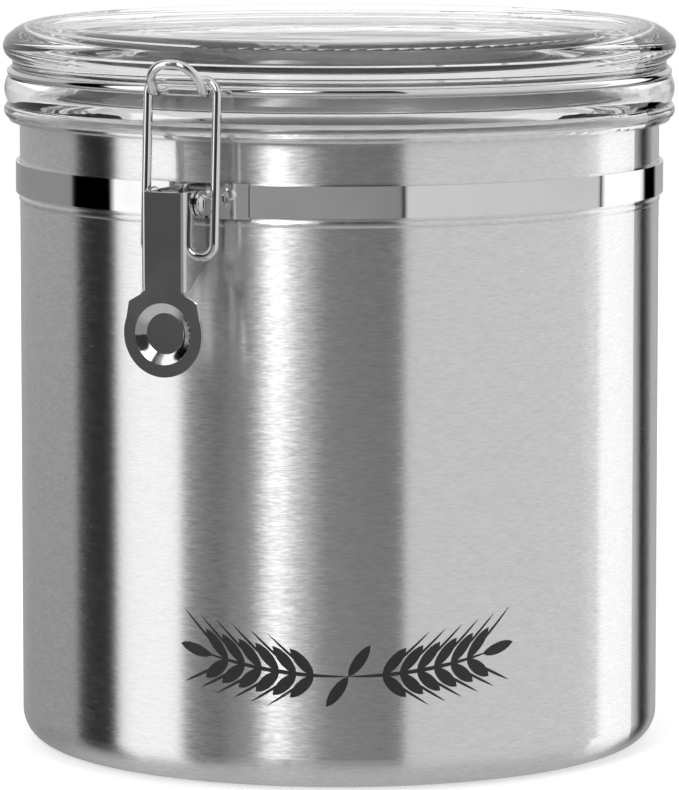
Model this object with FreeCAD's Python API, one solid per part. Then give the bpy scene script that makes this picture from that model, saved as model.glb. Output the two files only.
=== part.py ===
"""A clamp-lid food canister: a brushed steel can, a clear lid on a wire hinge, and an over-centre latch.

Millimetres, +Z up. The origin is the centre of the base, on the can's axis. The latch faces -Y and the
hinge is at +Y. The lid is shut and the latch is closed.
"""

import FreeCAD, Part

import math
import os

from FreeCAD import Vector

# ---------------------------------------------------------------- driving dimensions
# the can
body_radius = 89.0
body_height = 177.2
body_wall = 0.6
base_corner_radius = 8.8
curl_radius = 1.9
curl_turn = 215.0
locating_bead_proud = 0.25
locating_bead_half_height = 1.0

# the strip round it, and the two brackets riveted to the strip
band_height = 8.5
band_thickness = 1.05
band_drop = 18.7
band_gap = 0.1
bracket_height = 9.5
bracket_sheet = 0.8
bracket_gap = 0.1
latch_bracket_half_width = 16.0
hinge_bracket_half_width = 9.0
rivet_shank_radius = 1.0
rivet_head_radius = 1.5
rivet_head_height = 0.7
latch_rivet_offset = 11.1
latch_rivet_rise = 1.8
hinge_rivet_offset = 5.4
hinge_rivet_drop = 2.2

# the lid
lid_over_rim = 0.6
lid_lip_drop = 2.3
lid_lip_gap = 0.25
lid_flange_overhang = 1.0
lid_valley_depth = 1.1
lid_valley_rise = 3.6
lid_bulge_rise = 1.6
lid_total_height = 23.2
lid_rim_overhang = 1.3
lid_rim_width = 13.5
lid_rim_slope = 5.5
lid_recess_depth = 4.0
lid_shell = 3.0
lid_side_wall = 3.9
lid_edge_round = 0.4
lid_waist_inset = 2.2
lid_waist_rise = 2.4
lid_rim_widest_drop = 6.7
lid_rim_shoulder_inset = 1.8
lid_rim_shoulder_drop = 3.0
lid_rim_crown_inset = 8.5
lid_inner_corner = 3.6
lid_inner_step = 4.2
lid_wire_play = 0.15
plug_chamfer = 0.6
plug_side_gap = 6.4
plug_depth = 3.3
plug_wall = 3.0
gasket_plug_gap = 1.0
gasket_lip = 1.4
gasket_thickness = 1.5
gasket_proud = 0.35
gasket_inset = 0.2
gasket_clearance = 0.1

# wires
wire_radius = 1.25
wire_bend = 2.5
lid_wire_inset = 2.0
lid_wire_rise = 9.8
hook_gap = 0.1
hook_lean = 4.8
hook_tip_rise = 7.7
hook_corner = 6.6
hinge_leg_offset = 11.0
hinge_leg_gap = 2.15
hinge_pin_half_gap = 2.5
knuckle_half_width = 8.0

# the latch
lever_pivot_out = 7.6
bail_pivot_inset = 1.5
bail_pivot_drop = 14.2
crossbar_lid_gap = 1.25
crossbar_lift = 0.7
bail_pin_gap = 0.48
bail_side_gap = 0.5
bail_bend = 3.75
bail_foot_bend = 3.4
bail_foot_inside = 0.8
lever_depth = 8.4
lever_half_width = 6.5
lever_sheet = 0.9
lever_bend = 1.2
lever_top_rise = 3.4
lever_neck_drop = 23.7
pivot_lobe_radius = 3.4
bail_lobe_radius = 3.0
thumb_pad_radius = 11.5
thumb_pad_drop = 34.1
shoulder_half_width = 10.0
shoulder_rise = 8.4
dimple_outer_radius = 8.2
dimple_floor_radius = 5.5
dimple_depth = 1.5
ear_gap = 0.25
ear_lobe_radius = 3.3
pin_radius = 1.5
pin_head_radius = 2.5
pin_head_height = 0.9

# fits
running_clearance = 0.06
press_clearance = 0.02

# ---------------------------------------------------------------- heights and places worked out from them
TOP = Vector(0, 0, 1)
ACROSS = Vector(1, 0, 0)
OUTWARD = Vector(0, -1, 0)

band_middle_height = body_height - band_drop
band_low = band_middle_height - band_height / 2
band_inner = body_radius + band_gap
band_outer = band_inner + band_thickness
bracket_inner = band_outer + bracket_gap
bracket_outer = bracket_inner + bracket_sheet

curl_centre_radius = body_radius - body_wall + curl_radius
curl_centre_height = body_height - curl_radius
curl_outer_radius = curl_centre_radius + curl_radius

lid_bottom = body_height + lid_over_rim
lid_lip_low = lid_bottom - lid_lip_drop
lid_lip_inner = curl_outer_radius + lid_lip_gap
lid_top = lid_bottom + lid_total_height
lid_deck = lid_top - lid_recess_depth
lid_flange_radius = curl_outer_radius + lid_flange_overhang
lid_rim_radius = curl_outer_radius + lid_rim_overhang
lid_rim_inner_radius = lid_rim_radius - lid_rim_width
lid_recess_radius = lid_rim_inner_radius - lid_rim_slope
plug_radius = body_radius - body_wall - plug_side_gap
gasket_inner = plug_radius + gasket_plug_gap
gasket_outer = lid_flange_radius - gasket_lip
lid_wire_ring_radius = lid_flange_radius - lid_wire_inset
lid_wire_height = lid_bottom + lid_wire_rise
hinge_height = band_middle_height
hinge_axis_reach = curl_outer_radius + wire_radius + hinge_leg_gap

flange_inside = lever_half_width - lever_sheet
ear_inside = lever_half_width + ear_gap
ear_outside = ear_inside + bracket_sheet
pin_end = ear_outside + press_clearance + pin_head_height
bail_half_width = pin_end + bail_pin_gap + wire_radius
hook_half_width = bail_half_width - 2 * wire_radius - bail_side_gap

lever_pivot_reach = curl_outer_radius + lever_pivot_out
lever_pivot_height = band_middle_height
lever_face_reach = lever_pivot_reach + lever_depth
bail_pivot_reach = lever_pivot_reach - bail_pivot_inset
bail_pivot_height = lever_pivot_height - bail_pivot_drop
crossbar_reach = lid_rim_radius + wire_radius + crossbar_lid_gap
crossbar_height = lid_wire_height + 2 * wire_radius + crossbar_lift
hook_reach = crossbar_reach + 2 * wire_radius + hook_gap
hook_tip_reach = hook_reach + hook_lean
hook_tip_height = lid_wire_height + hook_tip_rise
thumb_pad_height = lever_pivot_height - thumb_pad_drop
neck_height = lever_pivot_height - lever_neck_drop
lever_top = lever_pivot_height + lever_top_rise
bail_foot_end = flange_inside - bail_foot_inside


# ---------------------------------------------------------------- helpers
def node(name, *solids):
    """Write one piece, made of one or more separate solids."""
    shape = solids[0] if len(solids) == 1 else Part.makeCompound(list(solids))
    shape.exportStep(os.path.join("parts", name + ".step"))


def front(x, reach, height):
    """A point given by its reach forward of the can's axis."""
    return Vector(x, -reach, height)


def one_solid(shape):
    """The single solid in a boolean's result."""
    return shape.removeSplitter().Solids[0]


def outline(start, *steps):
    """A closed wire in the XZ plane. A step is an end point, or a point on the way and an end point."""
    edges = []
    at = Vector(start[0], 0, start[1])
    first = at
    for step in steps:
        points = [Vector(x, 0, z) for x, z in step]
        end = points[-1]
        if len(points) == 1:
            edges.append(Part.LineSegment(at, end).toShape())
        else:
            edges.append(Part.Arc(at, points[0], end).toShape())
        at = end
    if at.distanceToPoint(first) > 1e-6:
        edges.append(Part.LineSegment(at, first).toShape())
    return Part.Wire(edges)


def turned(start, *steps):
    """The solid that an outline of (radius, height) points makes when it is turned round the can's axis."""
    return Part.Face(outline(start, *steps)).revolve(Vector(0, 0, 0), TOP, 360)


def ring(inner, outer, low, high):
    return turned((inner, low), [(outer, low)], [(outer, high)], [(inner, high)])


def box(x0, x1, y0, y1, z0, z1):
    return Part.makeBox(x1 - x0, y1 - y0, z1 - z0, Vector(x0, y0, z0))


def rod_x(radius, x0, x1, y, z):
    """A round bar that lies along X."""
    return Part.makeCylinder(radius, x1 - x0, Vector(x0, y, z), ACROSS)


def plate_x(points, x0, x1):
    """A flat plate across X, whose edge follows (y, z) points."""
    corners = [Vector(x0, y, z) for y, z in points]
    return Part.Face(Part.makePolygon(corners + corners[:1])).extrude(ACROSS * (x1 - x0))


def curved_plate(half_width, low, high, side):
    """A piece of bracket sheet bent to the band, at side -1 for the front or 1 for the back."""
    reach = bracket_outer + 1
    near, far = sorted((side * band_inner / 2, side * reach))
    strip = box(-half_width, half_width, near, far, low, high)
    return ring(bracket_inner, bracket_outer, low, high).common(strip)


def bend_path(points, radii):
    """Edges of straight runs through the points, joined by tangent arcs of the given radii."""
    edges = []
    at = points[0]
    for i in range(1, len(points) - 1):
        corner = points[i]
        back = (points[i - 1] - corner).normalize()
        ahead = (points[i + 1] - corner).normalize()
        half = back.getAngle(ahead) / 2
        setback = radii[i - 1] / math.tan(half)
        start = corner + back * setback
        end = corner + ahead * setback
        inward = (back + ahead).normalize()
        middle = corner + inward * (radii[i - 1] / math.sin(half) - radii[i - 1])
        edges.append(Part.LineSegment(at, start).toShape())
        edges.append(Part.Arc(start, middle, end).toShape())
        at = end
    edges.append(Part.LineSegment(at, points[-1]).toShape())
    return edges


def wire_solid(edges, radius):
    """A round wire along a smooth path."""
    path = Part.Wire(edges)
    first = path.Edges[0]
    start = first.valueAt(first.FirstParameter)
    direction = first.tangentAt(first.FirstParameter)
    section = Part.Wire(Part.makeCircle(radius, start, direction))
    return Part.Solid(path.makePipeShell([section], True, False))


# ---------------------------------------------------------------- the can
def canister_body():
    """One sheet from the base's centre to the curled rim, with a slight bead that locates the band."""
    inside = body_radius - body_wall
    corner = base_corner_radius * (1 - math.sqrt(0.5))
    inner_corner = corner + body_wall * math.sqrt(0.5)
    bead = band_low - 1.7
    end = math.radians(180 - curl_turn)
    half_way = math.radians(180 - curl_turn / 2)
    inner_curl = curl_radius - body_wall

    def on_curl(radius, angle):
        across = radius * math.cos(angle)
        return (curl_centre_radius + across, curl_centre_height + radius * math.sin(angle))

    start_of_curl = math.radians(180)
    return turned(
        (0, 0),
        [(body_radius - base_corner_radius, 0)],
        [(body_radius - corner, corner), (body_radius, base_corner_radius)],
        [(body_radius, bead - locating_bead_half_height)],
        [(body_radius + locating_bead_proud, bead), (body_radius, bead + locating_bead_half_height)],
        [on_curl(inner_curl, start_of_curl)],
        [on_curl(inner_curl, half_way), on_curl(inner_curl, end)],
        [on_curl(curl_radius, end)],
        [on_curl(curl_radius, half_way), on_curl(curl_radius, start_of_curl)],
        [(inside, base_corner_radius)],
        [(body_radius - inner_corner, inner_corner), (body_radius - base_corner_radius, body_wall)],
        [(0, body_wall)],
    )


# ---------------------------------------------------------------- the band, brackets and rivets
def rivet_places(offset, drop, side):
    """Where a bracket's two rivets start, on the band's inner face, and the way they point."""
    places = []
    for x in (-offset, offset):
        direction = Vector(x, side * math.sqrt(band_inner**2 - x**2), 0).normalize()
        places.append((direction * band_inner + TOP * (band_middle_height - drop), direction))
    return places


def rivet_holes(places):
    """The holes that the shanks fill, through the band and the bracket."""
    length = bracket_outer - band_inner + 1
    hole_radius = rivet_shank_radius + press_clearance
    return [Part.makeCylinder(hole_radius, length, p - d * 0.5, d) for p, d in places]


def rivets(places):
    """Each rivet is a shank flush with the band's inner face and a low domed head."""
    made = []
    grip = bracket_outer - band_inner + press_clearance
    for place, direction in places:
        shank = Part.makeCylinder(rivet_shank_radius, grip, place, direction)
        face = place + direction * grip
        head = Part.makeCone(rivet_head_radius, rivet_head_radius * 0.6, rivet_head_height, face, direction)
        made.append(one_solid(shank.fuse(head)))
    return made


def clamp_band(holes):
    strip = ring(band_inner, band_outer, band_low, band_low + band_height)
    return one_solid(strip.cut(Part.makeCompound(holes)))


def latch_bracket(holes):
    """A plate on the band with an ear each side of the lever."""
    low = band_middle_height - bracket_height / 2
    lobe_low = lever_pivot_height - ear_lobe_radius
    lobe_high = lever_pivot_height + ear_lobe_radius
    shape = curved_plate(latch_bracket_half_width, low, low + bracket_height, -1)
    for side in (-1, 1):
        x0, x1 = sorted((side * ear_inside, side * ear_outside))
        root = bracket_inner - 0.2
        arm = box(x0, x1, -lever_pivot_reach, -root, lobe_low, lobe_high)
        lobe = rod_x(ear_lobe_radius, x0, x1, -lever_pivot_reach, lever_pivot_height)
        shape = shape.fuse(arm.cut(ring(0.1, bracket_inner, low - 1, low + bracket_height + 1)).fuse(lobe))
    span = ear_outside + 1
    hole = rod_x(pin_radius + press_clearance, -span, span, -lever_pivot_reach, lever_pivot_height)
    return one_solid(shape.cut(Part.makeCompound([hole] + holes)))


def hinge_bracket(holes):
    """A plate on the band whose sheet leaves it and curls into a knuckle round the hinge wire."""
    low = band_middle_height - bracket_height / 2
    bore = wire_radius + running_clearance
    outside = bore + bracket_sheet
    shape = curved_plate(hinge_bracket_half_width, low, low + bracket_height, 1)
    half = knuckle_half_width
    web_start = bracket_inner - 0.6
    web = box(-half, half, web_start, hinge_axis_reach, hinge_height + bore, hinge_height + outside)
    knuckle = rod_x(outside, -half, half, hinge_axis_reach, hinge_height)
    shape = shape.fuse(web.cut(ring(0.1, bracket_inner, low - 1, low + bracket_height + 1))).fuse(knuckle)
    opening = rod_x(bore, -half - 1, half + 1, hinge_axis_reach, hinge_height)
    return one_solid(shape.cut(Part.makeCompound([opening] + holes)))


# ---------------------------------------------------------------- the lid
def lid():
    """A thick clear shell: a lip over the curl, ribs, the wire's groove, a rounded rim and a sunk top."""
    groove = wire_radius + lid_wire_play
    groove_low = lid_wire_height - groove
    groove_high = lid_wire_height + groove
    inner_side = lid_wire_ring_radius - groove - lid_side_wall
    under_deck = lid_deck - lid_shell
    under_rim = lid_top - lid_shell
    side_top = under_rim - lid_inner_corner
    valley_radius = lid_flange_radius - lid_valley_depth
    valley_height = lid_lip_low + lid_valley_rise
    soft = lid_edge_round
    plug_low = lid_bottom - plug_depth
    waist_radius = lid_rim_radius - lid_waist_inset
    waist_top = groove_high + lid_waist_rise
    rib_radius = lid_flange_radius - 2 * soft
    shell = turned(
        (0, under_deck),
        [(lid_recess_radius + soft, under_deck)],
        [(lid_rim_inner_radius - soft, under_rim - 2 * soft)],
        [(lid_rim_inner_radius + 5 * soft, under_rim), (inner_side - 3 * soft, under_rim - 3 * soft)],
        [(inner_side - soft / 2, (under_rim + side_top) / 2), (inner_side, side_top)],
        [(inner_side, lid_bottom + lid_inner_step)],
        [(plug_radius - plug_wall, lid_bottom + 3 * soft)],
        [(plug_radius - plug_wall, plug_low)],
        [(plug_radius - plug_chamfer, plug_low)],
        [(plug_radius, plug_low + plug_chamfer)],
        [(plug_radius, lid_bottom)],
        [(lid_lip_inner, lid_bottom)],
        [(lid_lip_inner, lid_lip_low)],
        [(lid_flange_radius - soft, lid_lip_low)],
        [(lid_flange_radius + soft / 4, lid_lip_low + lid_bulge_rise), (valley_radius, valley_height)],
        [(lid_flange_radius, (valley_height + groove_low) / 2), (rib_radius, groove_low)],
        [(lid_wire_ring_radius, groove_low)],
        [(lid_wire_ring_radius - groove, lid_wire_height), (lid_wire_ring_radius, groove_high)],
        [(waist_radius, groove_high)],
        [(waist_radius - soft, groove_high + lid_waist_rise / 2), (waist_radius + soft, waist_top)],
        [
            (lid_rim_radius, lid_top - lid_rim_widest_drop),
            (lid_rim_radius - lid_rim_shoulder_inset, lid_top - lid_rim_shoulder_drop),
        ],
        [
            (lid_rim_radius - (lid_rim_shoulder_inset + lid_rim_crown_inset) / 2, lid_top - 2 * soft),
            (lid_rim_radius - lid_rim_crown_inset, lid_top),
        ],
        [(lid_rim_inner_radius + 5 * soft, lid_top - soft / 2), (lid_rim_inner_radius, lid_top - 2 * soft)],
        [(lid_recess_radius + 3 * soft, lid_deck + soft)],
        [(lid_recess_radius, lid_deck)],
        [(0, lid_deck)],
    )
    seat = ring(
        gasket_inner - gasket_inset,
        gasket_outer + gasket_inset,
        lid_bottom - 1,
        lid_bottom + gasket_thickness - gasket_proud + gasket_clearance,
    )
    return one_solid(shell.cut(seat))


def lid_gasket():
    """A flat ring with a rounded lower lip, held in the seat under the lid's flange."""
    low = lid_bottom - gasket_proud
    high = low + gasket_thickness
    lip = 0.4
    return turned(
        (gasket_inner + lip, low),
        [(gasket_outer - lip, low)],
        [(gasket_outer - lip * 0.3, low + lip * 0.3), (gasket_outer, low + lip)],
        [(gasket_outer, high)],
        [(gasket_inner, high)],
        [(gasket_inner, low + lip)],
        [(gasket_inner + lip * 0.3, low + lip * 0.3), (gasket_inner + lip, low)],
    )


def leaving_ring(x, side):
    """The arc by which the lid wire leaves its ring at x: its start on the ring, its middle and its end."""
    turn = lid_wire_ring_radius + wire_bend
    outer_x = abs(x) + wire_bend
    centre = Vector(math.copysign(outer_x, x), side * math.sqrt(turn**2 - outer_x**2), lid_wire_height)
    flat = Vector(centre.x, centre.y, 0).normalize()
    on_ring = flat * lid_wire_ring_radius + TOP * lid_wire_height
    on_leg = Vector(x, centre.y, lid_wire_height)
    middle = centre + ((on_ring - centre) + (on_leg - centre)).normalize() * wire_bend
    return on_ring, middle, on_leg


def lid_wire():
    """One wire: in at the hinge, up, round each side in the groove, and up in front as a hook."""
    edges = []
    for side in (-1, 1):
        rear_ring, rear_middle, rear_leg = leaving_ring(side * hinge_leg_offset, 1)
        front_ring, front_middle, front_leg = leaving_ring(side * hook_half_width, -1)
        leg = [
            Vector(side * hinge_pin_half_gap, hinge_axis_reach, hinge_height),
            Vector(side * hinge_leg_offset, hinge_axis_reach, hinge_height),
            Vector(side * hinge_leg_offset, hinge_axis_reach, lid_wire_height),
            rear_leg,
        ]
        half_ring = Part.Arc(rear_ring, Vector(side * lid_wire_ring_radius, 0, lid_wire_height), front_ring)
        half = bend_path(leg, [wire_bend, wire_bend])
        half.append(Part.Arc(rear_leg, rear_middle, rear_ring).toShape())
        half.append(half_ring.toShape())
        half.append(Part.Arc(front_ring, front_middle, front_leg).toShape())
        hook = [
            front_leg,
            front(side * hook_half_width, hook_reach, lid_wire_height),
            front(side * hook_half_width, hook_tip_reach, hook_tip_height),
            front(0, hook_tip_reach, hook_tip_height),
        ]
        half += bend_path(hook, [wire_bend, hook_corner])
        edges += half if side < 0 else half[::-1]
    return wire_solid(Part.__sortEdges__(edges), wire_radius)


# ---------------------------------------------------------------- the latch
def lever_pivot_pin():
    """A pin with a peened head at each end, outside the bracket's ears."""
    shape = rod_x(pin_radius, -ear_outside, ear_outside, -lever_pivot_reach, lever_pivot_height)
    for side in (-1, 1):
        place = Vector(side * (ear_outside + press_clearance), -lever_pivot_reach, lever_pivot_height)
        neck = Part.makeCylinder(pin_radius, press_clearance, place, ACROSS * -side)
        head = Part.makeCone(pin_head_radius, pin_head_radius * 0.7, pin_head_height, place, ACROSS * side)
        shape = shape.fuse(neck.fuse(head))
    return one_solid(shape)


def rounded_front(block, radius):
    """The block with its two upright front edges rounded."""
    upright = [edge for edge in block.Edges if abs(edge.tangentAt(edge.FirstParameter).z) > 0.9]
    ahead = [edge for edge in upright if abs(edge.CenterOfMass.y - block.BoundBox.YMin) < 1e-6]
    return block.makeFillet(radius, ahead)


def lever_flange(side):
    """One side of the lever's channel, with a lobe round each pivot hole."""
    x0, x1 = sorted((side * flange_inside, side * lever_half_width))
    lobe_out = bail_lobe_radius * math.sqrt(0.5)
    web = plate_x(
        [
            (-lever_face_reach, lever_top),
            (-lever_pivot_reach, lever_top),
            (-lever_pivot_reach + pivot_lobe_radius, lever_pivot_height),
            (-bail_pivot_reach + bail_lobe_radius, bail_pivot_height),
            (-bail_pivot_reach + lobe_out, bail_pivot_height - lobe_out),
            (-lever_face_reach + lever_sheet, neck_height),
            (-lever_face_reach, neck_height),
        ],
        x0,
        x1,
    )
    pivot_lobe = rod_x(pivot_lobe_radius, x0, x1, -lever_pivot_reach, lever_pivot_height)
    bail_lobe = rod_x(bail_lobe_radius, x0, x1, -bail_pivot_reach, bail_pivot_height)
    return web.fuse([pivot_lobe, bail_lobe])


def thumb_pad():
    """A round plate with a pressed dimple that has a flat floor."""
    face = lever_face_reach
    back = face - lever_sheet
    profile = [
        (0, face - dimple_depth),
        (dimple_floor_radius, face - dimple_depth),
        (dimple_outer_radius, face),
        (thumb_pad_radius, face),
        (thumb_pad_radius, back),
        (dimple_outer_radius, back),
        (dimple_floor_radius, back - dimple_depth),
        (0, back - dimple_depth),
    ]
    corners = [front(x, reach, 0) for x, reach in profile]
    pad = Part.Face(Part.makePolygon(corners + corners[:1])).revolve(Vector(0, 0, 0), OUTWARD, 360)
    pad.translate(TOP * thumb_pad_height)
    return pad


def latch_lever():
    """A channel that carries both pivots, shoulders below it, and a round dimpled pad for the thumb."""
    face_y = -lever_face_reach
    back_y = face_y + lever_sheet
    channel = box(-lever_half_width, lever_half_width, face_y, back_y, neck_height, lever_top)
    channel = channel.fuse([lever_flange(-1), lever_flange(1)])
    block = box(-lever_half_width, lever_half_width, face_y, 0, neck_height - 1, lever_top + 1)
    channel = channel.common(rounded_front(block, lever_bend))
    half = [
        (lever_half_width, neck_height + lever_sheet),
        (lever_half_width, neck_height),
        (shoulder_half_width, thumb_pad_height + shoulder_rise),
        (thumb_pad_radius, thumb_pad_height),
    ]
    around = half + [(-x, z) for x, z in half[::-1]]
    corners = [front(x, lever_face_reach, z) for x, z in around]
    shoulders = Part.Face(Part.makePolygon(corners + corners[:1])).extrude(OUTWARD * -lever_sheet)
    room_start = front(0, lever_face_reach + 1, thumb_pad_height)
    room = Part.makeCylinder(dimple_outer_radius + 0.5, lever_depth, room_start, OUTWARD * -1)
    shape = channel.fuse(shoulders).cut(room).fuse(thumb_pad())
    span = lever_half_width + 1
    pin_hole = rod_x(pin_radius + running_clearance, -span, span, -lever_pivot_reach, lever_pivot_height)
    bail_hole = rod_x(wire_radius + running_clearance, -span, span, -bail_pivot_reach, bail_pivot_height)
    return one_solid(shape.cut(Part.makeCompound([pin_hole, bail_hole])))


def latch_bail():
    """A wire loop: its feet turn in through the lever's flanges and its crossbar lies in the hook."""
    points = [
        front(-bail_foot_end, bail_pivot_reach, bail_pivot_height),
        front(-bail_half_width, bail_pivot_reach, bail_pivot_height),
        front(-bail_half_width, crossbar_reach, crossbar_height),
        front(bail_half_width, crossbar_reach, crossbar_height),
        front(bail_half_width, bail_pivot_reach, bail_pivot_height),
        front(bail_foot_end, bail_pivot_reach, bail_pivot_height),
    ]
    radii = [bail_foot_bend, bail_bend, bail_bend, bail_foot_bend]
    return wire_solid(bend_path(points, radii), wire_radius)


def main():
    os.makedirs("parts", exist_ok=True)
    latch_rivet_places = rivet_places(latch_rivet_offset, -latch_rivet_rise, -1)
    hinge_rivet_places = rivet_places(hinge_rivet_offset, hinge_rivet_drop, 1)
    latch_holes = rivet_holes(latch_rivet_places)
    hinge_holes = rivet_holes(hinge_rivet_places)
    node("canister_body", canister_body())
    node("clamp_band", clamp_band(latch_holes + hinge_holes))
    node("latch_bracket", latch_bracket(latch_holes))
    node("latch_bracket_rivets", *rivets(latch_rivet_places))
    node("hinge_bracket", hinge_bracket(hinge_holes))
    node("hinge_bracket_rivets", *rivets(hinge_rivet_places))
    node("lever_pivot_pin", lever_pivot_pin())
    node("latch_lever", latch_lever())
    node("latch_bail", latch_bail())
    node("lid", lid())
    node("lid_gasket", lid_gasket())
    node("lid_wire", lid_wire())


main()
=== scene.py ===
# %% [markdown]
# # A clamp-lid food canister
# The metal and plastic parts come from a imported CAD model, at their real size in metres. This script
# gives them their looks: a camera, a soft studio, the finish of each part, softened edges on the lever
# and its pin, and a printed wheat ornament. It is written as a lesson, one small step to a cell.

# %% Load the CAD frame
import math

import bmesh
import bpy
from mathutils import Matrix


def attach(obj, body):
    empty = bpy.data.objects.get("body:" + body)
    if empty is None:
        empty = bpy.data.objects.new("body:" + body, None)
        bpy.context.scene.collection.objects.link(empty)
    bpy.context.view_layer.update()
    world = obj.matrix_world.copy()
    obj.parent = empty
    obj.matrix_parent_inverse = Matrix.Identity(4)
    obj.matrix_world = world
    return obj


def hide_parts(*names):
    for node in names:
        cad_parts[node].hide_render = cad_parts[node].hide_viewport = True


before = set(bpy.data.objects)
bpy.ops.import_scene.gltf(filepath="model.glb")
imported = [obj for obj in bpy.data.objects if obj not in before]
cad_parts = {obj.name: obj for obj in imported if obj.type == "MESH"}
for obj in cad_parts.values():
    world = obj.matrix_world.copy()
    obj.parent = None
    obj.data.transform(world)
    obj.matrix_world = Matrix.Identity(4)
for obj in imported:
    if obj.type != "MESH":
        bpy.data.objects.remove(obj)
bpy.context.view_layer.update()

print("CAD parts:", sorted(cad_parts))

# %% [markdown]
# ## The camera
# A catalogue picture is taken from far away with a long lens, so that the can's sides look parallel. The
# camera could be aimed with a Track To constraint, but a plain position and turn is easier to repeat. It
# stands 1.66 m from the can's axis, a little to the right of the latch, and looks down by seven degrees.

# %% Camera
CAMERA_TURN = math.radians(25.5)
CAMERA_DISTANCE = 1.664
CAMERA_HEIGHT = 0.3008
CAMERA_DIP = math.radians(7.007)
LENS_MM = 272.6
SENSOR_MM = 36
FAR_CLIP = 20

camera_data = bpy.data.cameras.new("studio_camera")
camera_data.lens = LENS_MM
camera_data.sensor_width = SENSOR_MM
camera_data.clip_end = FAR_CLIP
camera = bpy.data.objects.new("studio_camera", camera_data)
camera.location = (
    CAMERA_DISTANCE * math.sin(CAMERA_TURN),
    -CAMERA_DISTANCE * math.cos(CAMERA_TURN),
    CAMERA_HEIGHT,
)
camera.rotation_euler = (math.pi / 2 - CAMERA_DIP, 0, CAMERA_TURN)
bpy.context.scene.collection.objects.link(camera)
bpy.context.scene.camera = camera
bpy.context.scene.view_settings.view_transform = "Standard"
print("camera at", [round(v, 3) for v in camera.location])

# %% [markdown]
# ## Helpers for node trees
# Every shader and every Geometry Nodes tree is made of nodes with settings and inputs. One short function
# adds a node, sets it up and plugs in what feeds it, so that each tree below reads like a recipe. The
# second adds one sum, which both kinds of tree need often, and the third gives a ramp its stops.


# %% Node helpers
def add(tree, kind, inputs=None, **settings):
    """Add one node. An input is a plain value, or another node's output to link."""
    made = tree.nodes.new(kind)
    for name, value in settings.items():
        setattr(made, name, value)
    for name, value in (inputs or {}).items():
        socket = made.inputs[name]
        if isinstance(value, bpy.types.NodeSocket):
            tree.links.new(value, socket)
        else:
            socket.default_value = value
    return made


def calc(tree, operation, a, b=0.0):
    """One sum. Its result is the returned socket."""
    return add(tree, "ShaderNodeMath", {0: a, 1: b}, operation=operation).outputs[0]


def fill_ramp(ramp, stops):
    """Give a Color Ramp its grey stops, from (place, value) pairs."""
    elements = ramp.color_ramp.elements
    while len(elements) > 1:
        elements.remove(elements[-1])
    for index, (place, value) in enumerate(stops):
        stop = elements[0] if index == 0 else elements.new(place)
        stop.position = place
        stop.color = (value, value, value, 1)


print("helpers ready")

# %% [markdown]
# ## The studio
# Polished metal has no look of its own: it shows the room. A product studio surrounds the object with
# white and grey cards and a few black strips, and each card becomes an upright stripe in a round can.
# Real area lamps could be the cards, but they would block some views, so the cards are painted on the
# world instead: two ramps say how bright the room is in each compass direction, one just below eye level
# and one above it, where the studio behind the camera is dark. Rays that go straight from the camera see
# plain white.

# %% Cards round the object
LOW_CARDS = (
    (-180, 0.40),
    (-150, 0.30),
    (-110, 0.30),
    (-108, 0.0),
    (-88, 0.0),
    (-86, 1.25),
    (-60, 1.25),
    (-57.5, 0.08),
    (-44, 0.10),
    (-38, 0.34),
    (0, 0.33),
    (21.6, 0.27),
    (22.1, 0.02),
    (22.9, 0.02),
    (23.4, 0.72),
    (104, 0.68),
    (105, 0.04),
    (106, 0.04),
    (107.5, 1.30),
    (136, 1.25),
    (138, 0.0),
    (150, 0.0),
    (153, 0.45),
    (180, 0.40),
)
HIGH_CARDS = (
    (-180, 0.70),
    (-110, 0.55),
    (-106, 0.0),
    (-89, 0.0),
    (-86, 1.30),
    (-60, 1.25),
    (-57, 0.60),
    (-50, 0.32),
    (-42, 0.15),
    (-36, 0.04),
    (0, 0.04),
    (21.8, 0.01),
    (22.8, 0.74),
    (98, 0.80),
    (103, 1.30),
    (130, 1.30),
    (132, 0.0),
    (143, 0.0),
    (146, 0.62),
    (180, 0.70),
)
STRIP_LAMP = ((-33, 0.0), (-28.5, 0.35), (-26, 1.0), (-22, 1.0), (-17, 0.4), (-6, 0.0))
STRIP_STRENGTH = 10.0
EYE_LEVEL = (-0.075, -0.01)


def by_angle(stops):
    """Compass angles in degrees, as places along a ramp."""
    return [((angle + 180) / 360, value) for angle, value in stops]


def compass_ramp(tree, turn, stops):
    """A ramp that says how bright the room is at each turn of the compass."""
    ramp = add(tree, "ShaderNodeValToRGB", {0: turn})
    fill_ramp(ramp, by_angle(stops))
    return ramp.outputs[0]


def blend(tree, factor, a, b):
    """Plain numbers mixed by a factor."""
    return add(tree, "ShaderNodeMix", {"Factor": factor, "A": a, "B": b}, data_type="FLOAT").outputs[0]


def between(tree, value, start, end):
    """0 at the start, 1 at the end, and smooth on the way."""
    limits = {"Value": value, "From Min": start, "From Max": end}
    return add(tree, "ShaderNodeMapRange", limits, interpolation_type="SMOOTHSTEP").outputs[0]


world = bpy.data.worlds.new("studio")
world.use_nodes = True
bpy.context.scene.world = world
sky = world.node_tree
sky.nodes.clear()
direction = add(sky, "ShaderNodeTexCoord").outputs["Generated"]
aim = {"Vector": direction, "Angle": -CAMERA_TURN}
turned = add(sky, "ShaderNodeVectorRotate", aim, rotation_type="Z_AXIS").outputs[0]
parts = add(sky, "ShaderNodeSeparateXYZ", {0: turned}).outputs
compass = calc(sky, "ARCTAN2", parts["X"], calc(sky, "MULTIPLY", parts["Y"], -1.0))
spin = {"Value": compass, "From Min": -math.pi, "From Max": math.pi}
turn = add(sky, "ShaderNodeMapRange", spin).outputs[0]
low = compass_ramp(sky, turn, LOW_CARDS)
high = compass_ramp(sky, turn, HIGH_CARDS)
level = blend(sky, between(sky, parts["Z"], *EYE_LEVEL), low, high)
print("cards:", len(LOW_CARDS), "low stops,", len(HIGH_CARDS), "high stops")

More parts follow.
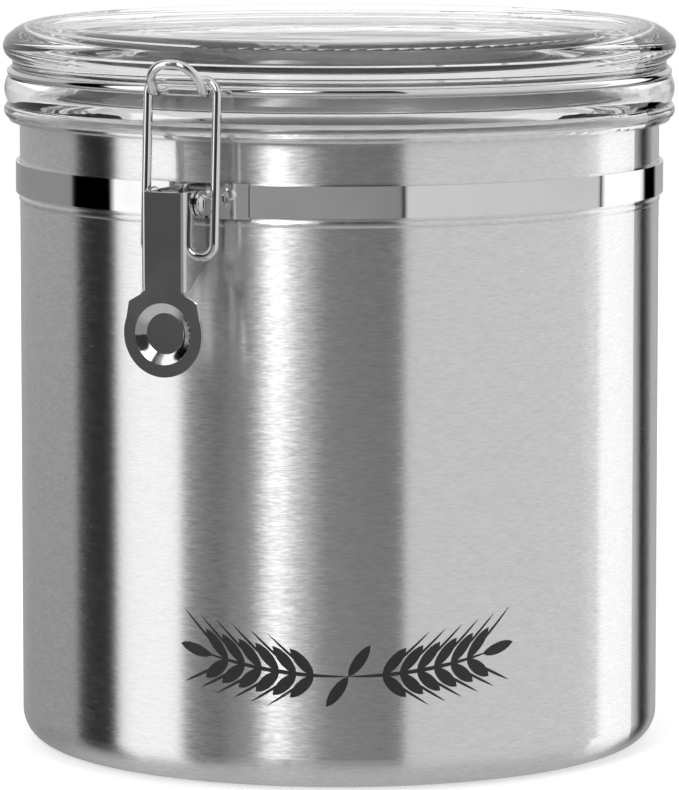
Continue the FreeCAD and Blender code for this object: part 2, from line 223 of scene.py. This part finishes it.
# %% [markdown]
# A tall lamp stands left of the camera. Flat-on mirrors miss it, but the brush lines of the can catch it
# as one bright stripe. Above everything hangs a softbox, and below everything lies the pale table's glow.
# Rays that have gone through the clear lid see a lighter room, as they do against a white backdrop.

# %% Lamp, softbox, table glow
LAMP_FOOT = (0.14, 0.30)
LAMP_HEAD = (0.75, 0.60)
OVERHEAD = 0.75
OVERHEAD_EDGE = (0.65, 0.9)
TABLE_GLOW = 0.55
TABLE_EDGE = (-0.35, -0.7)
THROUGH_LID_LIGHT = 0.88
THROUGH_LID_SHARE = 0.75

above_foot = between(sky, parts["Z"], *LAMP_FOOT)
below_head = between(sky, parts["Z"], *LAMP_HEAD)
tall = calc(sky, "MULTIPLY", above_foot, below_head)
lamp = calc(sky, "MULTIPLY", compass_ramp(sky, turn, STRIP_LAMP), tall)
level = calc(sky, "ADD", level, calc(sky, "MULTIPLY", lamp, STRIP_STRENGTH))
with_top = blend(sky, between(sky, parts["Z"], *OVERHEAD_EDGE), level, OVERHEAD)
room = blend(sky, between(sky, parts["Z"], *TABLE_EDGE), with_top, TABLE_GLOW)
path = add(sky, "ShaderNodeLightPath").outputs
through = calc(sky, "MULTIPLY", path["Is Transmission Ray"], THROUGH_LID_SHARE)
room = blend(sky, through, room, THROUGH_LID_LIGHT)
lit = add(sky, "ShaderNodeBackground", {"Color": room, "Strength": 1.0})
backdrop = add(sky, "ShaderNodeBackground", {"Color": (1, 1, 1, 1), "Strength": 1.0})
choice = {0: path["Is Camera Ray"], 1: lit.outputs[0], 2: backdrop.outputs[0]}
shown = add(sky, "ShaderNodeMixShader", choice)
add(sky, "ShaderNodeOutputWorld", {"Surface": shown.outputs[0]})
print("studio built")

# %% [markdown]
# ## The table
# The can stands on a plain pale table, a large disc just under its base. The table is kept out of mirror
# reflections. The world already has its glow, and it would otherwise draw a hard line across the can.

# %% Table
TABLE_RADIUS = 1.6
TABLE_DROP = 0.0002
TABLE_SHADE = (0.93, 0.93, 0.92, 1)
TABLE_LIGHT = 0.45

table_mesh = bpy.data.meshes.new("table")
shape = bmesh.new()
bmesh.ops.create_circle(shape, cap_ends=True, segments=96, radius=TABLE_RADIUS)
bmesh.ops.translate(shape, verts=shape.verts, vec=(0, 0, -TABLE_DROP))
shape.to_mesh(table_mesh)
shape.free()
table = bpy.data.objects.new("table", table_mesh)
bpy.context.scene.collection.objects.link(table)
table.visible_glossy = False
table_finish = bpy.data.materials.new("pale_table")
table_finish.use_nodes = True
surface = table_finish.node_tree.nodes["Principled BSDF"].inputs
surface["Base Color"].default_value = TABLE_SHADE
surface["Roughness"].default_value = 0.8
surface["Emission Color"].default_value = (1, 1, 1, 1)
surface["Emission Strength"].default_value = TABLE_LIGHT
table_mesh.materials.append(table_finish)
print("table", TABLE_RADIUS * 2, "m across")

# %% [markdown]
# ## Surface effects shared by several finishes
# Brushed and polished steel differ in how deep and how long their scratches are. A stretched noise gives
# them: it changes slowly sideways and much faster upward. A texture picture would need a seam, and noise
# in object space has none. It is built once, as a group with named sizes that each metal sets.


# %% Group: brush lines
def new_group(name, inputs, outputs):
    """A shader group with named number inputs and outputs, and its two end nodes."""
    group = bpy.data.node_groups.new(name, "ShaderNodeTree")
    for label, value in inputs:
        socket = group.interface.new_socket(label, in_out="INPUT", socket_type="NodeSocketFloat")
        socket.default_value = value
    for label in outputs:
        group.interface.new_socket(label, in_out="OUTPUT", socket_type="NodeSocketFloat")
    return group, add(group, "NodeGroupInput"), add(group, "NodeGroupOutput")


def times_vector(tree, a, b):
    """Two vectors multiplied, direction by direction."""
    return add(tree, "ShaderNodeVectorMath", {0: a, 1: b}, operation="MULTIPLY").outputs[0]


def noise(tree, where, scale, detail, **more):
    """A cloud of soft random values around one half."""
    given = {"Vector": where, "Scale": scale, "Detail": detail, **more}
    return add(tree, "ShaderNodeTexNoise", given).outputs[0]


COARSE_STRETCH = (0.4, 0.4, 0.2)
COARSE_SHARE = 0.25

brush_lines, given, result = new_group(
    "brush_lines",
    (("Lines Per Metre", 2600.0), ("Breaks Per Metre", 45.0), ("Roughness", 0.3), ("Spread", 0.1)),
    ("Roughness", "Height"),
)
where = add(brush_lines, "ShaderNodeTexCoord").outputs["Object"]
breaks = given.outputs["Breaks Per Metre"]
stretch_by = {"X": breaks, "Y": breaks, "Z": given.outputs["Lines Per Metre"]}
stretch = add(brush_lines, "ShaderNodeCombineXYZ", stretch_by).outputs[0]
scaled = times_vector(brush_lines, where, stretch)
fine = noise(brush_lines, scaled, scale=1.0, detail=2.0)
stretched = times_vector(brush_lines, scaled, COARSE_STRETCH)
coarse = noise(brush_lines, stretched, scale=1.0, detail=1.0)
lines = blend(brush_lines, COARSE_SHARE, fine, coarse)
off_centre = calc(brush_lines, "SUBTRACT", lines, 0.5)
swing = calc(brush_lines, "MULTIPLY", off_centre, given.outputs["Spread"])
rough = calc(brush_lines, "ADD", swing, given.outputs["Roughness"])
brush_lines.links.new(rough, result.inputs["Roughness"])
brush_lines.links.new(lines, result.inputs["Height"])
print("group", brush_lines.name)

# %% [markdown]
# Handling leaves faint smears on bright metal and clear plastic. They are broad, soft patches where the
# surface is a little less glossy. One group makes them for all the shiny finishes.

# %% Group: handling smears
handling, given, result = new_group(
    "handling_smears",
    (("Size Metres", 0.03), ("Clean Roughness", 0.05), ("Smear Roughness", 0.12)),
    ("Roughness", "Mask"),
)
where = add(handling, "ShaderNodeTexCoord").outputs["Object"]
per_metre = calc(handling, "DIVIDE", 1.0, given.outputs["Size Metres"])
patches = noise(handling, where, scale=per_metre, detail=5.0, Distortion=0.7)
edges = {"Value": patches, "From Min": 0.48, "From Max": 0.72}
mask = add(handling, "ShaderNodeMapRange", edges).outputs[0]
mixed = blend(handling, mask, given.outputs["Clean Roughness"], given.outputs["Smear Roughness"])
handling.links.new(mixed, result.inputs["Roughness"])
handling.links.new(mask, result.inputs["Mask"])
print("group", handling.name)

# %% [markdown]
# ## The brushed steel of the can
# Abrasive belts drag round the can and leave level scratches. Light that meets them spreads up and down
# but hardly sideways, so the cards stay as upright stripes with soft tops. That is anisotropic gloss: a
# radial tangent gives the direction round the can, and a quarter turn lays the spread upright.


# %% Finish: brushed steel
def new_finish(name):
    """A material with its tree and its Principled shader."""
    finish = bpy.data.materials.new(name)
    finish.use_nodes = True
    return finish, finish.node_tree, finish.node_tree.nodes["Principled BSDF"]


def use_group(tree, group, **values):
    """Place a shared group, with its sizes given by name."""
    made = add(tree, "ShaderNodeGroup", node_tree=group)
    for name, value in values.items():
        made.inputs[name.replace("_", " ").title()].default_value = value
    return made.outputs


def grey(tree, value):
    """A neutral colour from one number."""
    return add(tree, "ShaderNodeCombineColor", {0: value, 1: value, 2: value}).outputs[0]


def spread_over(tree, value, low, high, start=0.0, end=1.0):
    """A value moved from one range to another."""
    limits = {"Value": value, "From Min": start, "From Max": end, "To Min": low, "To Max": high}
    return add(tree, "ShaderNodeMapRange", limits).outputs[0]


def brushed_steel():
    """Steel whose gloss spreads up and down, across its brush lines."""
    finish, tree, metal = new_finish("brushed_steel_can")
    lines = use_group(
        tree,
        brush_lines,
        lines_per_metre=2600.0,
        breaks_per_metre=420.0,
        roughness=0.245,
        spread=0.12,
    )
    shade = grey(tree, spread_over(tree, lines["Height"], low=0.70, high=0.84, start=0.3, end=0.7))
    bump = add(tree, "ShaderNodeBump", {"Height": lines["Height"], "Strength": 0.6, "Distance": 0.00002})
    round_the_can = add(tree, "ShaderNodeTangent", direction_type="RADIAL", axis="Z")
    tree.links.new(shade, metal.inputs["Base Color"])
    tree.links.new(lines["Roughness"], metal.inputs["Roughness"])
    tree.links.new(bump.outputs[0], metal.inputs["Normal"])
    tree.links.new(round_the_can.outputs[0], metal.inputs["Tangent"])
    metal.inputs["Metallic"].default_value = 1.0
    metal.inputs["Anisotropic"].default_value = 1.0
    metal.inputs["Anisotropic Rotation"].default_value = 0.25
    return finish


can_finish = brushed_steel()
print("finish", can_finish.name)

# %% [markdown]
# ## Bright metal: the band, the wires and the latch
# The band is polished until it mirrors the room. The wires and the latch are steel with bright plating,
# which is never quite as flat. Faint scratches and a soft ripple keep the reflections from looking too
# clean.


# %% Finish: polished and plated metal
SCRATCH_SHARE = 0.04
SMEAR_SHADE = 0.93


def bright_metal(name, shade, clean, smeared, ripple):
    """Mirror-like metal: its grey, its roughness when clean and when smeared, and how much it ripples."""
    finish, tree, metal = new_finish(name)
    smears = use_group(tree, handling, size_metres=0.02, clean_roughness=clean, smear_roughness=smeared)
    scratches = use_group(tree, brush_lines, lines_per_metre=5000.0, breaks_per_metre=120.0)
    where = add(tree, "ShaderNodeTexCoord").outputs["Object"]
    soft = noise(tree, where, scale=140.0, detail=1.0)
    height = calc(tree, "ADD", soft, calc(tree, "MULTIPLY", scratches["Height"], SCRATCH_SHARE))
    bump = add(tree, "ShaderNodeBump", {"Height": height, "Strength": ripple, "Distance": 0.0002})
    shade_here = grey(tree, spread_over(tree, smears["Mask"], shade, shade * SMEAR_SHADE))
    tree.links.new(shade_here, metal.inputs["Base Color"])
    tree.links.new(smears["Roughness"], metal.inputs["Roughness"])
    tree.links.new(bump.outputs[0], metal.inputs["Normal"])
    metal.inputs["Metallic"].default_value = 1.0
    return finish


band_finish = bright_metal("polished_band", shade=0.80, clean=0.035, smeared=0.07, ripple=0.03)
plate_finish = bright_metal("bright_plated_sheet", shade=0.76, clean=0.07, smeared=0.14, ripple=0.10)
wire_finish = bright_metal("bright_plated_wire", shade=0.80, clean=0.05, smeared=0.10, ripple=0.05)
print("finishes", band_finish.name, plate_finish.name, wire_finish.name)

# %% [markdown]
# ## Clear acrylic and silicone
# The lid is one thick moulding of clear acrylic. Glass-like plastic needs a closed shell, full
# transmission and acrylic's own index of refraction. The slight waviness of a moulded surface bends the
# highlights. The gasket is milky silicone, which lets light soak in rather than through.


# %% Finish: acrylic and silicone
ACRYLIC_IOR = 1.49
SILICONE_IOR = 1.41
SOAK_DEPTH = 0.004


def clear_acrylic():
    """Clear plastic with a slightly wavy surface."""
    finish, tree, plastic = new_finish("clear_acrylic")
    smears = use_group(tree, handling, size_metres=0.035, clean_roughness=0.0, smear_roughness=0.045)
    where = add(tree, "ShaderNodeTexCoord").outputs["Object"]
    waves = noise(tree, where, scale=55.0, detail=1.5)
    bump = add(tree, "ShaderNodeBump", {"Height": waves, "Strength": 0.12, "Distance": 0.0006})
    tree.links.new(smears["Roughness"], plastic.inputs["Roughness"])
    tree.links.new(bump.outputs[0], plastic.inputs["Normal"])
    plastic.inputs["Base Color"].default_value = (0.985, 0.99, 0.99, 1)
    plastic.inputs["Transmission Weight"].default_value = 1.0
    plastic.inputs["IOR"].default_value = ACRYLIC_IOR
    return finish


def silicone():
    """Milky rubber that light soaks into."""
    finish, tree, rubber = new_finish("milky_silicone")
    smears = use_group(tree, handling, size_metres=0.008, clean_roughness=0.38, smear_roughness=0.55)
    tree.links.new(smears["Roughness"], rubber.inputs["Roughness"])
    shade = grey(tree, spread_over(tree, smears["Mask"], low=0.86, high=0.78))
    tree.links.new(shade, rubber.inputs["Base Color"])
    rubber.inputs["Subsurface Weight"].default_value = 0.5
    rubber.inputs["Subsurface Radius"].default_value = (SOAK_DEPTH,) * 3
    rubber.inputs["IOR"].default_value = SILICONE_IOR
    return finish


lid_finish = clear_acrylic()
gasket_finish = silicone()
print("finishes", lid_finish.name, gasket_finish.name)

# %% [markdown]
# ## Put the finishes on
# Each CAD node has one material slot, so a finish is simply put in its place. The sheet-metal pieces and
# their rivets and pin all take the plated sheet's finish.

# %% Assign finishes
FINISH_OF = {
    "canister_body": can_finish,
    "clamp_band": band_finish,
    "lid": lid_finish,
    "lid_gasket": gasket_finish,
    "lid_wire": wire_finish,
    "latch_bail": wire_finish,
}
for name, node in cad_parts.items():
    node.data.materials.clear()
    node.data.materials.append(FINISH_OF.get(name, plate_finish))
print("finished nodes:", len(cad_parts))

# %% [markdown]
# ## Softened edges on the latch
# Stamped sheet metal never has knife edges: the press rounds them, and plating rounds them more. Those
# thin rounds catch the light and make a small part read as real. The CAD lever and its pin are sharp, so
# a copy of each is merged into one skin and a narrow bevel runs along its sharp edges. Shading normals
# are then weighted by face area, which keeps flat faces flat. The copy replaces its CAD node in the
# picture. The brackets are bent to the band and keep the CAD model's own exact normals instead.


# %% Soften the lever and its pin
BEVEL_STEPS = 3
SHARP_ANGLE = math.radians(25)
WELD_DISTANCE = 0.000002
FULL_WEIGHT = 100


def softened(name, body, width):
    """A copy of a CAD node with its sharp edges rounded by a small width, in metres."""
    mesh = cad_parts[name].data.copy()
    skin = bmesh.new()
    skin.from_mesh(mesh)
    bmesh.ops.remove_doubles(skin, verts=skin.verts, dist=WELD_DISTANCE)
    skin.to_mesh(mesh)
    skin.free()
    copy = bpy.data.objects.new(name + "_softened", mesh)
    bpy.context.scene.collection.objects.link(copy)
    bevel = copy.modifiers.new("rounded_edges", "BEVEL")
    bevel.width = width
    bevel.segments = BEVEL_STEPS
    bevel.limit_method = "ANGLE"
    bevel.angle_limit = SHARP_ANGLE
    even = copy.modifiers.new("flat_faces_stay_flat", "WEIGHTED_NORMAL")
    even.weight = FULL_WEIGHT
    mesh.shade_smooth()
    seen = copy.evaluated_get(bpy.context.evaluated_depsgraph_get())
    finished = bpy.data.meshes.new_from_object(seen)
    copy.modifiers.clear()
    copy.data = finished
    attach(copy, body)
    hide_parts(name)
    print(name, "softened by", round(width * 1000, 3), "mm:", len(finished.polygons), "faces")


softened("latch_lever", "lever", width=0.00018)
softened("lever_pivot_pin", "canister", width=0.00020)

# %% [markdown]
# ## The printed ornament
# The can has a dark printed decoration on its front right. Here it is a garland of two wheat ears.
# Painting it with a mask in the shader is possible, but the outline would be soft, so the print is real
# geometry: a skin of ink 0.06 mm thick. Geometry Nodes suit it, because a wheat ear is one grain shape
# repeated along a stem. The tree lays the garland out flat, thickens it, curves it a little and wraps it
# round the can.

# %% Ornament sizes
CAN_RADIUS = 0.0890
PRINT_TURN = math.radians(27.0)
PRINT_HEIGHT = 0.0315
GARLAND = {
    "Grain Length": 0.0092,
    "Grain Width": 0.0031,
    "Grain Spacing": 0.0047,
    "Ear Start": 0.0092,
    "Stem Width": 0.0011,
    "Stem Length": 0.0400,
    "Bend": 3.4,
    "Ink": 0.00006,
    "Lift": 0.00002,
}
GRAINS_A_SIDE = 6
GRAIN_TILT = 0.80
BRISTLE_TILT = 0.66
BRISTLE_LENGTH_IN_GRAINS = 1.75
BRISTLE_WIDTH_IN_GRAINS = 0.22
SPRIG_TILT = 0.95
SPRIG_LENGTH_IN_GRAINS = 1.1
INK_WELD = 0.000001
print("ornament centre", round(math.degrees(PRINT_TURN), 1), "degrees round from the latch")

# %% [markdown]
# A grain, a bristle, a leaf and the stem are all the same pointed oval at different sizes. It starts as a
# small flat grid, and each point moves inward by how far along the oval it lies. One recipe makes all
# four.


# %% Geometry Nodes: one pointed oval
ROUNDNESS = 3.96
FULLNESS_POWER = 0.75


def flow(tree, node_kind, geometry, inputs=None, **settings):
    """Add a node that takes geometry first, and return its geometry."""
    made = add(tree, node_kind, inputs, **settings)
    tree.links.new(geometry, made.inputs[0])
    return made.outputs[0]


def position(tree):
    """Where each point is, as separate X, Y and Z."""
    here = add(tree, "GeometryNodeInputPosition").outputs[0]
    return add(tree, "ShaderNodeSeparateXYZ", {0: here}).outputs


def leaf(tree, length, width, columns=9, rows=5):
    """A pointed oval from a small grid, its base at the origin and its tip along +X."""
    size = {"Size X": 1.0, "Size Y": 1.0, "Vertices X": columns, "Vertices Y": rows}
    sheet = add(tree, "GeometryNodeMeshGrid", size)
    at = position(tree)
    along = calc(tree, "ADD", at["X"], 0.5)
    squared = calc(tree, "MULTIPLY", calc(tree, "MULTIPLY", at["X"], at["X"]), ROUNDNESS)
    fullness = calc(tree, "POWER", calc(tree, "SUBTRACT", 1.0, squared), FULLNESS_POWER)
    across = calc(tree, "MULTIPLY", calc(tree, "MULTIPLY", at["Y"], fullness), width)
    moved = add(tree, "ShaderNodeCombineXYZ", {"X": calc(tree, "MULTIPLY", along, length), "Y": across})
    return flow(tree, "GeometryNodeSetPosition", sheet.outputs[0], {"Position": moved.outputs[0]})


print("leaf recipe ready")

# %% [markdown]
# An ear is two rows of grains that lean away from the stem, two rows of thin bristles that reach past
# them, one grain at the tip and one leaf at the foot. Instances repeat a shape cheaply, and they are made
# real before the sheet is thickened. The second ear is the first one turned half round. Last, the flat
# garland is curved upward at its ends and wrapped round the can.


# %% Geometry Nodes: rows, joining and wrapping
def row(tree, shape, start, spacing, count, tilt):
    """The shape repeated along X from start, each one tilted by an angle."""
    offset = add(tree, "ShaderNodeCombineXYZ", {"X": spacing}).outputs[0]
    first = add(tree, "ShaderNodeCombineXYZ", {"X": start}).outputs[0]
    line = add(tree, "GeometryNodeMeshLine", {"Count": count, "Start Location": first, "Offset": offset})
    placed = {"Instance": shape, "Rotation": (0.0, 0.0, tilt)}
    return flow(tree, "GeometryNodeInstanceOnPoints", line.outputs[0], placed)


def joined(tree, *shapes):
    """Several shapes as one."""
    made = add(tree, "GeometryNodeJoinGeometry")
    for shape in shapes:
        tree.links.new(shape, made.inputs[0])
    return made.outputs[0]


def wrapped(tree, flat, given):
    """Bend the flat print into a smile, then wrap it round the can at its place."""
    at = position(tree)
    rise = calc(tree, "MULTIPLY", calc(tree, "MULTIPLY", at["X"], at["X"]), given["Bend"])
    height = calc(tree, "ADD", calc(tree, "ADD", at["Y"], rise), given["Middle Height"])
    angle = calc(tree, "ADD", calc(tree, "DIVIDE", at["X"], given["Can Radius"]), given["Middle Turn"])
    reach = calc(tree, "ADD", calc(tree, "ADD", at["Z"], given["Lift"]), given["Can Radius"])
    right = calc(tree, "MULTIPLY", calc(tree, "SINE", angle), reach)
    toward_latch = calc(tree, "MULTIPLY", reach, -1.0)
    out = calc(tree, "MULTIPLY", calc(tree, "COSINE", angle), toward_latch)
    place = add(tree, "ShaderNodeCombineXYZ", {"X": right, "Y": out, "Z": height})
    return flow(tree, "GeometryNodeSetPosition", flat, {"Position": place.outputs[0]})


print("row, joining and wrapping recipes ready")


# %% Geometry Nodes: the garland
def ear_of_wheat(tree, given):
    """One ear, its stem and its leaf, flat along +X."""
    length, width = given["Grain Length"], given["Grain Width"]
    start, spacing, count = given["Ear Start"], given["Grain Spacing"], given["Grains A Side"]
    grain = leaf(tree, length, width)
    bristle_length = calc(tree, "MULTIPLY", length, BRISTLE_LENGTH_IN_GRAINS)
    bristle_width = calc(tree, "MULTIPLY", width, BRISTLE_WIDTH_IN_GRAINS)
    bristle = leaf(tree, bristle_length, bristle_width, rows=3)
    rows = []
    for side in (-1, 1):
        rows.append(row(tree, grain, start, spacing, count, side * GRAIN_TILT))
        rows.append(row(tree, bristle, start, spacing, count, side * BRISTLE_TILT))
    ear_end = calc(tree, "ADD", start, calc(tree, "MULTIPLY", spacing, count))
    rows.append(row(tree, grain, ear_end, 0.0, 1, 0.0))
    stem = leaf(tree, given["Stem Length"], given["Stem Width"], columns=33, rows=3)
    sprig_length = calc(tree, "MULTIPLY", length, SPRIG_LENGTH_IN_GRAINS)
    sprig = row(tree, leaf(tree, sprig_length, width), 0.0, 0.0, 1, SPRIG_TILT)
    return joined(tree, *rows, stem, sprig)


def thickened(tree, flat, given):
    """The flat print as a closed skin of ink."""
    base = flow(tree, "GeometryNodeFlipFaces", flat)
    up = {"Mesh": flat, "Offset Scale": given["Ink"], "Individual": False}
    top = add(tree, "GeometryNodeExtrudeMesh", up).outputs[0]
    return flow(tree, "GeometryNodeMergeByDistance", joined(tree, top, base), {"Distance": INK_WELD})


def garland_tree():
    """The whole garland, with its sizes and its finish as named inputs."""
    tree = bpy.data.node_groups.new("wheat_garland", "GeometryNodeTree")
    tree.interface.new_socket("Geometry", in_out="OUTPUT", socket_type="NodeSocketGeometry")
    for name in (*GARLAND, "Can Radius", "Middle Turn", "Middle Height"):
        tree.interface.new_socket(name, in_out="INPUT", socket_type="NodeSocketFloat")
    tree.interface.new_socket("Grains A Side", in_out="INPUT", socket_type="NodeSocketInt")
    tree.interface.new_socket("Ink Finish", in_out="INPUT", socket_type="NodeSocketMaterial")
    given = add(tree, "NodeGroupInput").outputs
    ear = ear_of_wheat(tree, given)
    other = flow(tree, "GeometryNodeTransform", ear, {"Rotation": (0.0, 0.0, math.pi)})
    flat = flow(tree, "GeometryNodeRealizeInstances", joined(tree, ear, other))
    placed = wrapped(tree, thickened(tree, flat, given), given)
    inked = flow(tree, "GeometryNodeSetMaterial", placed, {"Material": given["Ink Finish"]})
    add(tree, "NodeGroupOutput", {0: inked})
    return tree


garland = garland_tree()
print("tree", garland.name, "with", len(garland.nodes), "nodes")

# %% [markdown]
# Screen-printing ink dries dark, slightly raised and satin, with a faint unevenness where it meets the
# brush lines. The finish stays almost black, and a fine grain changes its gloss and barely changes its
# shade. The tree's sizes are then set, the print is made into a plain mesh, and it rides on the can.


# %% Ink and the finished print
def printing_ink():
    """Nearly black ink with a fine uneven gloss."""
    finish, tree, ink = new_finish("dark_printing_ink")
    where = add(tree, "ShaderNodeTexCoord").outputs["Object"]
    grain = noise(tree, where, scale=900.0, detail=3.0)
    gloss = spread_over(tree, grain, low=0.36, high=0.56)
    dark = grey(tree, spread_over(tree, grain, low=0.008, high=0.018))
    bump = add(tree, "ShaderNodeBump", {"Height": grain, "Strength": 0.15, "Distance": 0.00002})
    tree.links.new(gloss, ink.inputs["Roughness"])
    tree.links.new(dark, ink.inputs["Base Color"])
    tree.links.new(bump.outputs[0], ink.inputs["Normal"])
    return finish


ink_finish = printing_ink()
print_object = bpy.data.objects.new("wheat_print", bpy.data.meshes.new("wheat_print_base"))
bpy.context.scene.collection.objects.link(print_object)
maker = print_object.modifiers.new("garland", "NODES")
maker.node_group = garland
chosen = {
    **GARLAND,
    "Can Radius": CAN_RADIUS,
    "Middle Turn": PRINT_TURN,
    "Middle Height": PRINT_HEIGHT,
    "Grains A Side": GRAINS_A_SIDE,
    "Ink Finish": ink_finish,
}
for item in garland.interface.items_tree:
    if item.in_out == "INPUT":
        maker[item.identifier] = chosen[item.name]
made = print_object.evaluated_get(bpy.context.evaluated_depsgraph_get())
print_mesh = bpy.data.meshes.new_from_object(made)
print_object.modifiers.clear()
print_object.data = print_mesh
print_mesh.name = "wheat_print"
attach(print_object, "canister")
print("print:", len(print_mesh.polygons), "faces")
